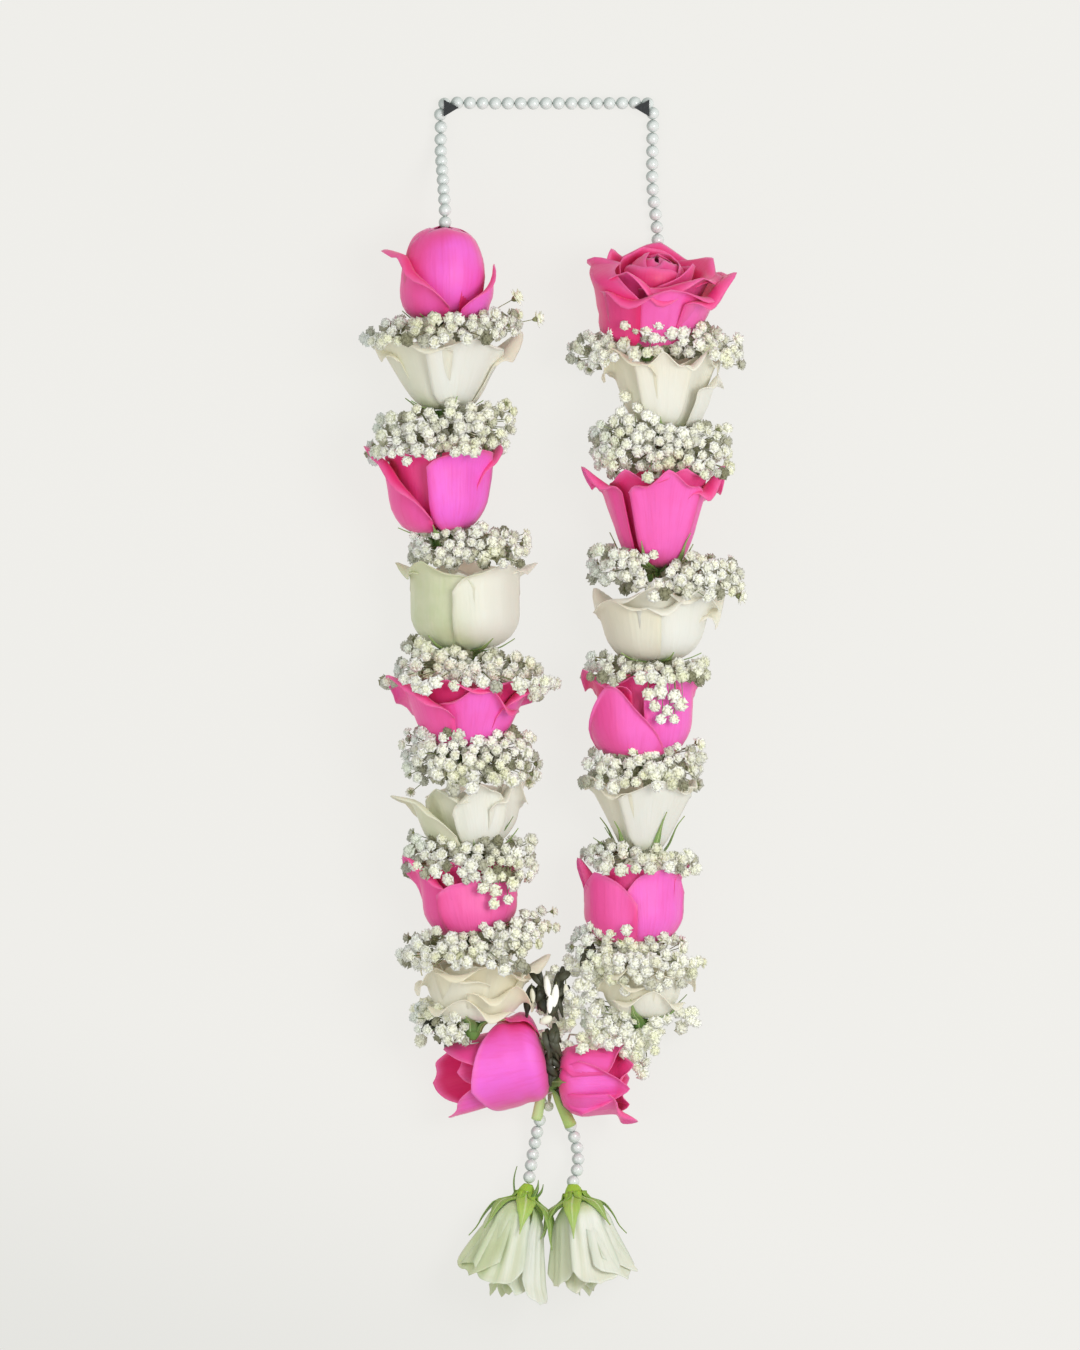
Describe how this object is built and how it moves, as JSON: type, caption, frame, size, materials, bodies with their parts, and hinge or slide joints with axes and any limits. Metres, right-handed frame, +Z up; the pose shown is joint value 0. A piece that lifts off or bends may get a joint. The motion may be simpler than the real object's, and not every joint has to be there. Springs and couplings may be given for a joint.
{
  "type": "flower garland",
  "caption": "Flower garland of pink and white roses with baby's breath on two strands, a pearl neck strand and a pair of pearl pendants with roses, lying flat.",
  "frame": {"origin": "middle of the garland's bounding box, at the table it lies on", "axes": "+Y along the garland towards the neck strand, +X to its right-hand strand as seen from above, +Z up from the table"},
  "size_m": [0.1707, 0.569, 0.0741],
  "materials": {
    "pink_petal": "soft satin petal, hot pink to magenta",
    "white_petal": "soft satin petal, ivory with green at the base",
    "sepal": "waxy leaf green",
    "babys_breath": "matt white florets on thin olive stems",
    "pearl": "pearl lustre",
    "dark_stop": "satin near-black",
    "thread": "green garland string"
  },
  "bodies": {
    "root": {"left_1_petals": "pink_petal", "left_1_calyx": "sepal", "left_2_petals": "white_petal", "left_2_calyx": "sepal", "left_3_petals": "pink_petal", "left_3_calyx": "sepal", "left_4_petals": "white_petal", "left_4_calyx": "sepal", "left_5_petals": "pink_petal", "left_5_calyx": "sepal", "left_6_petals": "white_petal", "left_6_calyx": "sepal", "left_7_petals": "pink_petal", "left_7_calyx": "sepal", "left_8_petals": "white_petal", "left_8_calyx": "sepal", "left_9_petals": "pink_petal", "left_9_calyx": "sepal", "right_1_petals": "pink_petal", "right_1_calyx": "sepal", "right_2_petals": "white_petal", "right_2_calyx": "sepal", "right_3_petals": "pink_petal", "right_3_calyx": "sepal", "right_4_petals": "white_petal", "right_4_calyx": "sepal", "right_5_petals": "pink_petal", "right_5_calyx": "sepal", "right_6_petals": "white_petal", "right_6_calyx": "sepal", "right_7_petals": "pink_petal", "right_7_calyx": "sepal", "right_8_petals": "white_petal", "right_8_calyx": "sepal", "right_9_petals": "pink_petal", "right_9_calyx": "sepal", "pendant_left_petals": "white_petal", "pendant_left_calyx": "sepal", "pendant_right_petals": "white_petal", "pendant_right_calyx": "sepal", "left_1_breath": "babys_breath", "left_2_breath": "babys_breath", "left_3_breath": "babys_breath", "left_4_breath": "babys_breath", "left_5_breath": "babys_breath", "left_6_breath": "babys_breath", "left_7_breath": "babys_breath", "right_1_breath": "babys_breath", "right_2_breath": "babys_breath", "right_3_breath": "babys_breath", "right_4_breath": "babys_breath", "right_5_breath": "babys_breath", "right_6_breath": "babys_breath", "right_7_breath": "babys_breath", "bottom_breath": "babys_breath", "neck_pearls": "pearl", "pendant_pearls": "pearl", "left_stop": "dark_stop", "right_stop": "dark_stop", "thread": "thread"}
  },
  "joints": []
}
